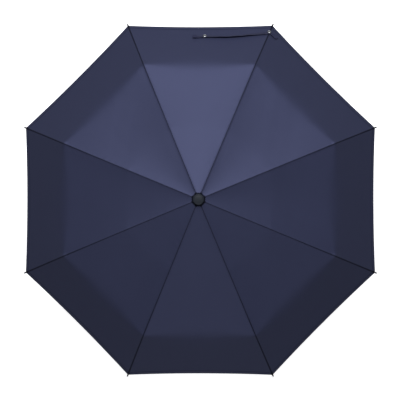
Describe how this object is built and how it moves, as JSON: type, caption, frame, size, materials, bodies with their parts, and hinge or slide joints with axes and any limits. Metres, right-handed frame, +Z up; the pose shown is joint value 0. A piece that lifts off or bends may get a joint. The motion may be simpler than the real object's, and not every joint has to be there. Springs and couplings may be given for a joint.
{
  "type": "folding umbrella",
  "caption": "Open three-section folding umbrella with a navy eight-gore canopy, jointed ribs, sliding runner, telescopic shaft, closure strap and plain handle.",
  "frame": {"origin": "middle of the handle's grip, on the shaft's axis", "axes": "+Z up the shaft towards the cap; +Y towards the gore that carries the closure strap; the first rib is 22.5 degrees from +X towards +Y"},
  "size_m": [0.8886, 0.8886, 0.5859],
  "materials": {
    "rib_steel": "satin",
    "outer_rib": "satin",
    "link_wire": "satin",
    "shaft_steel": "satin",
    "handle_plastic": "matte",
    "button_plastic": "matte",
    "crown_plastic": "matte",
    "cap_plastic": "satin",
    "canopy_fabric": "satin weave",
    "strap_fabric": "woven tape"
  },
  "bodies": {
    "handle": {"handle": "handle_plastic", "bottom_tube": "shaft_steel"},
    "button": {"button": "button_plastic"},
    "middle_tube": {"middle_tube": "shaft_steel"},
    "shaft_top": {"top_tube": "shaft_steel", "crown": "crown_plastic", "crown_ring": "link_wire", "crown_cap": "cap_plastic", "canopy": "canopy_fabric"},
    "runner": {"runner": "crown_plastic", "runner_ring": "link_wire"},
    "top_rib_1": {"top_rib_1": "rib_steel"},
    "stretcher_1": {"stretcher_1": "rib_steel"},
    "middle_rib_1": {"middle_rib_1": "rib_steel"},
    "outer_rib_1": {"outer_rib_1": "outer_rib"},
    "inner_link_1": {"inner_link_1": "link_wire"},
    "outer_link_1": {"outer_link_1": "link_wire"},
    "top_rib_2": {"top_rib_2": "rib_steel"},
    "stretcher_2": {"stretcher_2": "rib_steel"},
    "middle_rib_2": {"middle_rib_2": "rib_steel"},
    "outer_rib_2": {"outer_rib_2": "outer_rib", "closure_strap": "strap_fabric"},
    "inner_link_2": {"inner_link_2": "link_wire"},
    "outer_link_2": {"outer_link_2": "link_wire"},
    "top_rib_3": {"top_rib_3": "rib_steel"},
    "stretcher_3": {"stretcher_3": "rib_steel"},
    "middle_rib_3": {"middle_rib_3": "rib_steel"},
    "outer_rib_3": {"outer_rib_3": "outer_rib"},
    "inner_link_3": {"inner_link_3": "link_wire"},
    "outer_link_3": {"outer_link_3": "link_wire"},
    "top_rib_4": {"top_rib_4": "rib_steel"},
    "stretcher_4": {"stretcher_4": "rib_steel"},
    "middle_rib_4": {"middle_rib_4": "rib_steel"},
    "outer_rib_4": {"outer_rib_4": "outer_rib"},
    "inner_link_4": {"inner_link_4": "link_wire"},
    "outer_link_4": {"outer_link_4": "link_wire"},
    "top_rib_5": {"top_rib_5": "rib_steel"},
    "stretcher_5": {"stretcher_5": "rib_steel"},
    "middle_rib_5": {"middle_rib_5": "rib_steel"},
    "outer_rib_5": {"outer_rib_5": "outer_rib"},
    "inner_link_5": {"inner_link_5": "link_wire"},
    "outer_link_5": {"outer_link_5": "link_wire"},
    "top_rib_6": {"top_rib_6": "rib_steel"},
    "stretcher_6": {"stretcher_6": "rib_steel"},
    "middle_rib_6": {"middle_rib_6": "rib_steel"},
    "outer_rib_6": {"outer_rib_6": "outer_rib"},
    "inner_link_6": {"inner_link_6": "link_wire"},
    "outer_link_6": {"outer_link_6": "link_wire"},
    "top_rib_7": {"top_rib_7": "rib_steel"},
    "stretcher_7": {"stretcher_7": "rib_steel"},
    "middle_rib_7": {"middle_rib_7": "rib_steel"},
    "outer_rib_7": {"outer_rib_7": "outer_rib"},
    "inner_link_7": {"inner_link_7": "link_wire"},
    "outer_link_7": {"outer_link_7": "link_wire"},
    "top_rib_8": {"top_rib_8": "rib_steel"},
    "stretcher_8": {"stretcher_8": "rib_steel"},
    "middle_rib_8": {"middle_rib_8": "rib_steel"},
    "outer_rib_8": {"outer_rib_8": "outer_rib"},
    "inner_link_8": {"inner_link_8": "link_wire"},
    "outer_link_8": {"outer_link_8": "link_wire"}
  },
  "joints": [
    {"name": "middle_slide", "type": "slide", "parent": "handle", "child": "middle_tube", "axis": [0, 0, 1], "range_m": [-0.145, 0]},
    {"name": "top_slide", "type": "slide", "parent": "middle_tube", "child": "shaft_top", "axis": [0, 0, 1], "range_m": [-0.15, 0]},
    {"name": "button_press", "type": "slide", "parent": "handle", "child": "button", "axis": [-1, 0, 0], "range_m": [0, 0.002], "stiffness_N_per_m": 600},
    {"name": "canopy_fold", "type": "hinge", "parent": "shaft_top", "child": "top_rib_1", "pos_m": [0.00878, 0.00364, 0.54], "axis": [-0.3827, 0.9239, 0], "range_deg": [0, 72], "deforming": ["canopy", "closure_strap"]},
    {"name": "stretcher_hinge_1", "type": "hinge", "parent": "top_rib_1", "child": "stretcher_1", "pos_m": [0.09401, 0.03894, 0.51003], "axis": [0.3827, -0.9239, 0], "range_deg": [0, 144]},
    {"name": "elbow_1", "type": "hinge", "parent": "top_rib_1", "child": "middle_rib_1", "pos_m": [0.17569, 0.07277, 0.48766], "axis": [0.3827, -0.9239, 0], "range_deg": [0, 183]},
    {"name": "outer_elbow_1", "type": "hinge", "parent": "middle_rib_1", "child": "outer_rib_1", "pos_m": [0.33478, 0.13867, 0.41722], "axis": [-0.3827, 0.9239, 0], "range_deg": [0, 156]},
    {"name": "inner_link_hinge_1", "type": "hinge", "parent": "stretcher_1", "child": "inner_link_1", "pos_m": [0.0861, 0.03566, 0.50724], "axis": [-0.3827, 0.9239, 0], "range_deg": [0, 140.72]},
    {"name": "outer_link_hinge_1", "type": "hinge", "parent": "top_rib_1", "child": "outer_link_1", "pos_m": [0.17108, 0.07086, 0.4874], "axis": [0.3827, -0.9239, 0], "range_deg": [0, 183]},
    {"name": "crown_hinge_2", "type": "hinge", "parent": "shaft_top", "child": "top_rib_2", "pos_m": [0.00364, 0.00878, 0.54], "axis": [-0.9239, 0.3827, 0], "range_deg": [0, 72]},
    {"name": "stretcher_hinge_2", "type": "hinge", "parent": "top_rib_2", "child": "stretcher_2", "pos_m": [0.03894, 0.09401, 0.51003], "axis": [0.9239, -0.3827, 0], "range_deg": [0, 144]},
    {"name": "elbow_2", "type": "hinge", "parent": "top_rib_2", "child": "middle_rib_2", "pos_m": [0.07277, 0.17569, 0.48766], "axis": [0.9239, -0.3827, 0], "range_deg": [0, 183]},
    {"name": "outer_elbow_2", "type": "hinge", "parent": "middle_rib_2", "child": "outer_rib_2", "pos_m": [0.13867, 0.33478, 0.41722], "axis": [-0.9239, 0.3827, 0], "range_deg": [0, 156]},
    {"name": "inner_link_hinge_2", "type": "hinge", "parent": "stretcher_2", "child": "inner_link_2", "pos_m": [0.03566, 0.0861, 0.50724], "axis": [-0.9239, 0.3827, 0], "range_deg": [0, 140.72]},
    {"name": "outer_link_hinge_2", "type": "hinge", "parent": "top_rib_2", "child": "outer_link_2", "pos_m": [0.07086, 0.17108, 0.4874], "axis": [0.9239, -0.3827, 0], "range_deg": [0, 183]},
    {"name": "crown_hinge_3", "type": "hinge", "parent": "shaft_top", "child": "top_rib_3", "pos_m": [-0.00364, 0.00878, 0.54], "axis": [-0.9239, -0.3827, 0], "range_deg": [0, 72]},
    {"name": "stretcher_hinge_3", "type": "hinge", "parent": "top_rib_3", "child": "stretcher_3", "pos_m": [-0.03894, 0.09401, 0.51003], "axis": [0.9239, 0.3827, 0], "range_deg": [0, 144]},
    {"name": "elbow_3", "type": "hinge", "parent": "top_rib_3", "child": "middle_rib_3", "pos_m": [-0.07277, 0.17569, 0.48766], "axis": [0.9239, 0.3827, 0], "range_deg": [0, 183]},
    {"name": "outer_elbow_3", "type": "hinge", "parent": "middle_rib_3", "child": "outer_rib_3", "pos_m": [-0.13867, 0.33478, 0.41722], "axis": [-0.9239, -0.3827, 0], "range_deg": [0, 156]},
    {"name": "inner_link_hinge_3", "type": "hinge", "parent": "stretcher_3", "child": "inner_link_3", "pos_m": [-0.03566, 0.0861, 0.50724], "axis": [-0.9239, -0.3827, 0], "range_deg": [0, 140.72]},
    {"name": "outer_link_hinge_3", "type": "hinge", "parent": "top_rib_3", "child": "outer_link_3", "pos_m": [-0.07086, 0.17108, 0.4874], "axis": [0.9239, 0.3827, 0], "range_deg": [0, 183]},
    {"name": "crown_hinge_4", "type": "hinge", "parent": "shaft_top", "child": "top_rib_4", "pos_m": [-0.00878, 0.00364, 0.54], "axis": [-0.3827, -0.9239, 0], "range_deg": [0, 72]},
    {"name": "stretcher_hinge_4", "type": "hinge", "parent": "top_rib_4", "child": "stretcher_4", "pos_m": [-0.09401, 0.03894, 0.51003], "axis": [0.3827, 0.9239, 0], "range_deg": [0, 144]},
    {"name": "elbow_4", "type": "hinge", "parent": "top_rib_4", "child": "middle_rib_4", "pos_m": [-0.17569, 0.07277, 0.48766], "axis": [0.3827, 0.9239, 0], "range_deg": [0, 183]},
    {"name": "outer_elbow_4", "type": "hinge", "parent": "middle_rib_4", "child": "outer_rib_4", "pos_m": [-0.33478, 0.13867, 0.41722], "axis": [-0.3827, -0.9239, 0], "range_deg": [0, 156]},
    {"name": "inner_link_hinge_4", "type": "hinge", "parent": "stretcher_4", "child": "inner_link_4", "pos_m": [-0.0861, 0.03566, 0.50724], "axis": [-0.3827, -0.9239, 0], "range_deg": [0, 140.72]},
    {"name": "outer_link_hinge_4", "type": "hinge", "parent": "top_rib_4", "child": "outer_link_4", "pos_m": [-0.17108, 0.07086, 0.4874], "axis": [0.3827, 0.9239, 0], "range_deg": [0, 183]},
    {"name": "crown_hinge_5", "type": "hinge", "parent": "shaft_top", "child": "top_rib_5", "pos_m": [-0.00878, -0.00364, 0.54], "axis": [0.3827, -0.9239, 0], "range_deg": [0, 72]},
    {"name": "stretcher_hinge_5", "type": "hinge", "parent": "top_rib_5", "child": "stretcher_5", "pos_m": [-0.09401, -0.03894, 0.51003], "axis": [-0.3827, 0.9239, 0], "range_deg": [0, 144]},
    {"name": "elbow_5", "type": "hinge", "parent": "top_rib_5", "child": "middle_rib_5", "pos_m": [-0.17569, -0.07277, 0.48766], "axis": [-0.3827, 0.9239, 0], "range_deg": [0, 183]},
    {"name": "outer_elbow_5", "type": "hinge", "parent": "middle_rib_5", "child": "outer_rib_5", "pos_m": [-0.33478, -0.13867, 0.41722], "axis": [0.3827, -0.9239, 0], "range_deg": [0, 156]},
    {"name": "inner_link_hinge_5", "type": "hinge", "parent": "stretcher_5", "child": "inner_link_5", "pos_m": [-0.0861, -0.03566, 0.50724], "axis": [0.3827, -0.9239, 0], "range_deg": [0, 140.72]},
    {"name": "outer_link_hinge_5", "type": "hinge", "parent": "top_rib_5", "child": "outer_link_5", "pos_m": [-0.17108, -0.07086, 0.4874], "axis": [-0.3827, 0.9239, 0], "range_deg": [0, 183]},
    {"name": "crown_hinge_6", "type": "hinge", "parent": "shaft_top", "child": "top_rib_6", "pos_m": [-0.00364, -0.00878, 0.54], "axis": [0.9239, -0.3827, 0], "range_deg": [0, 72]},
    {"name": "stretcher_hinge_6", "type": "hinge", "parent": "top_rib_6", "child": "stretcher_6", "pos_m": [-0.03894, -0.09401, 0.51003], "axis": [-0.9239, 0.3827, 0], "range_deg": [0, 144]},
    {"name": "elbow_6", "type": "hinge", "parent": "top_rib_6", "child": "middle_rib_6", "pos_m": [-0.07277, -0.17569, 0.48766], "axis": [-0.9239, 0.3827, 0], "range_deg": [0, 183]},
    {"name": "outer_elbow_6", "type": "hinge", "parent": "middle_rib_6", "child": "outer_rib_6", "pos_m": [-0.13867, -0.33478, 0.41722], "axis": [0.9239, -0.3827, 0], "range_deg": [0, 156]},
    {"name": "inner_link_hinge_6", "type": "hinge", "parent": "stretcher_6", "child": "inner_link_6", "pos_m": [-0.03566, -0.0861, 0.50724], "axis": [0.9239, -0.3827, 0], "range_deg": [0, 140.72]},
    {"name": "outer_link_hinge_6", "type": "hinge", "parent": "top_rib_6", "child": "outer_link_6", "pos_m": [-0.07086, -0.17108, 0.4874], "axis": [-0.9239, 0.3827, 0], "range_deg": [0, 183]},
    {"name": "crown_hinge_7", "type": "hinge", "parent": "shaft_top", "child": "top_rib_7", "pos_m": [0.00364, -0.00878, 0.54], "axis": [0.9239, 0.3827, 0], "range_deg": [0, 72]},
    {"name": "stretcher_hinge_7", "type": "hinge", "parent": "top_rib_7", "child": "stretcher_7", "pos_m": [0.03894, -0.09401, 0.51003], "axis": [-0.9239, -0.3827, 0], "range_deg": [0, 144]},
    {"name": "elbow_7", "type": "hinge", "parent": "top_rib_7", "child": "middle_rib_7", "pos_m": [0.07277, -0.17569, 0.48766], "axis": [-0.9239, -0.3827, 0], "range_deg": [0, 183]},
    {"name": "outer_elbow_7", "type": "hinge", "parent": "middle_rib_7", "child": "outer_rib_7", "pos_m": [0.13867, -0.33478, 0.41722], "axis": [0.9239, 0.3827, 0], "range_deg": [0, 156]},
    {"name": "inner_link_hinge_7", "type": "hinge", "parent": "stretcher_7", "child": "inner_link_7", "pos_m": [0.03566, -0.0861, 0.50724], "axis": [0.9239, 0.3827, 0], "range_deg": [0, 140.72]},
    {"name": "outer_link_hinge_7", "type": "hinge", "parent": "top_rib_7", "child": "outer_link_7", "pos_m": [0.07086, -0.17108, 0.4874], "axis": [-0.9239, -0.3827, 0], "range_deg": [0, 183]},
    {"name": "crown_hinge_8", "type": "hinge", "parent": "shaft_top", "child": "top_rib_8", "pos_m": [0.00878, -0.00364, 0.54], "axis": [0.3827, 0.9239, 0], "range_deg": [0, 72]},
    {"name": "stretcher_hinge_8", "type": "hinge", "parent": "top_rib_8", "child": "stretcher_8", "pos_m": [0.09401, -0.03894, 0.51003], "axis": [-0.3827, -0.9239, 0], "range_deg": [0, 144]},
    {"name": "elbow_8", "type": "hinge", "parent": "top_rib_8", "child": "middle_rib_8", "pos_m": [0.17569, -0.07277, 0.48766], "axis": [-0.3827, -0.9239, 0], "range_deg": [0, 183]},
    {"name": "outer_elbow_8", "type": "hinge", "parent": "middle_rib_8", "child": "outer_rib_8", "pos_m": [0.33478, -0.13867, 0.41722], "axis": [0.3827, 0.9239, 0], "range_deg": [0, 156]},
    {"name": "inner_link_hinge_8", "type": "hinge", "parent": "stretcher_8", "child": "inner_link_8", "pos_m": [0.0861, -0.03566, 0.50724], "axis": [0.3827, 0.9239, 0], "range_deg": [0, 140.72]},
    {"name": "outer_link_hinge_8", "type": "hinge", "parent": "top_rib_8", "child": "outer_link_8", "pos_m": [0.17108, -0.07086, 0.4874], "axis": [-0.3827, -0.9239, 0], "range_deg": [0, 183]},
    {"name": "runner_hinge", "type": "hinge", "parent": "stretcher_1", "child": "runner", "pos_m": [0.00878, 0.00364, 0.48005], "axis": [-0.3827, 0.9239, 0], "range_deg": [0, 72]}
  ],
  "couplings": [
    {"joint": "stretcher_hinge_1", "follows": "canopy_fold", "ratio": 2},
    {"joint": "elbow_1", "follows": "canopy_fold", "ratio": 2.5417},
    {"joint": "outer_elbow_1", "follows": "canopy_fold", "ratio": 2.1667},
    {"joint": "inner_link_hinge_1", "follows": "canopy_fold", "ratio": 1.9545},
    {"joint": "outer_link_hinge_1", "follows": "canopy_fold", "ratio": 2.5417},
    {"joint": "crown_hinge_2", "follows": "canopy_fold", "ratio": 1},
    {"joint": "stretcher_hinge_2", "follows": "canopy_fold", "ratio": 2},
    {"joint": "elbow_2", "follows": "canopy_fold", "ratio": 2.5417},
    {"joint": "outer_elbow_2", "follows": "canopy_fold", "ratio": 2.1667},
    {"joint": "inner_link_hinge_2", "follows": "canopy_fold", "ratio": 1.9545},
    {"joint": "outer_link_hinge_2", "follows": "canopy_fold", "ratio": 2.5417},
    {"joint": "crown_hinge_3", "follows": "canopy_fold", "ratio": 1},
    {"joint": "stretcher_hinge_3", "follows": "canopy_fold", "ratio": 2},
    {"joint": "elbow_3", "follows": "canopy_fold", "ratio": 2.5417},
    {"joint": "outer_elbow_3", "follows": "canopy_fold", "ratio": 2.1667},
    {"joint": "inner_link_hinge_3", "follows": "canopy_fold", "ratio": 1.9545},
    {"joint": "outer_link_hinge_3", "follows": "canopy_fold", "ratio": 2.5417},
    {"joint": "crown_hinge_4", "follows": "canopy_fold", "ratio": 1},
    {"joint": "stretcher_hinge_4", "follows": "canopy_fold", "ratio": 2},
    {"joint": "elbow_4", "follows": "canopy_fold", "ratio": 2.5417},
    {"joint": "outer_elbow_4", "follows": "canopy_fold", "ratio": 2.1667},
    {"joint": "inner_link_hinge_4", "follows": "canopy_fold", "ratio": 1.9545},
    {"joint": "outer_link_hinge_4", "follows": "canopy_fold", "ratio": 2.5417},
    {"joint": "crown_hinge_5", "follows": "canopy_fold", "ratio": 1},
    {"joint": "stretcher_hinge_5", "follows": "canopy_fold", "ratio": 2},
    {"joint": "elbow_5", "follows": "canopy_fold", "ratio": 2.5417},
    {"joint": "outer_elbow_5", "follows": "canopy_fold", "ratio": 2.1667},
    {"joint": "inner_link_hinge_5", "follows": "canopy_fold", "ratio": 1.9545},
    {"joint": "outer_link_hinge_5", "follows": "canopy_fold", "ratio": 2.5417},
    {"joint": "crown_hinge_6", "follows": "canopy_fold", "ratio": 1},
    {"joint": "stretcher_hinge_6", "follows": "canopy_fold", "ratio": 2},
    {"joint": "elbow_6", "follows": "canopy_fold", "ratio": 2.5417},
    {"joint": "outer_elbow_6", "follows": "canopy_fold", "ratio": 2.1667},
    {"joint": "inner_link_hinge_6", "follows": "canopy_fold", "ratio": 1.9545},
    {"joint": "outer_link_hinge_6", "follows": "canopy_fold", "ratio": 2.5417},
    {"joint": "crown_hinge_7", "follows": "canopy_fold", "ratio": 1},
    {"joint": "stretcher_hinge_7", "follows": "canopy_fold", "ratio": 2},
    {"joint": "elbow_7", "follows": "canopy_fold", "ratio": 2.5417},
    {"joint": "outer_elbow_7", "follows": "canopy_fold", "ratio": 2.1667},
    {"joint": "inner_link_hinge_7", "follows": "canopy_fold", "ratio": 1.9545},
    {"joint": "outer_link_hinge_7", "follows": "canopy_fold", "ratio": 2.5417},
    {"joint": "crown_hinge_8", "follows": "canopy_fold", "ratio": 1},
    {"joint": "stretcher_hinge_8", "follows": "canopy_fold", "ratio": 2},
    {"joint": "elbow_8", "follows": "canopy_fold", "ratio": 2.5417},
    {"joint": "outer_elbow_8", "follows": "canopy_fold", "ratio": 2.1667},
    {"joint": "inner_link_hinge_8", "follows": "canopy_fold", "ratio": 1.9545},
    {"joint": "outer_link_hinge_8", "follows": "canopy_fold", "ratio": 2.5417},
    {"joint": "runner_hinge", "follows": "canopy_fold", "ratio": 1}
  ]
}
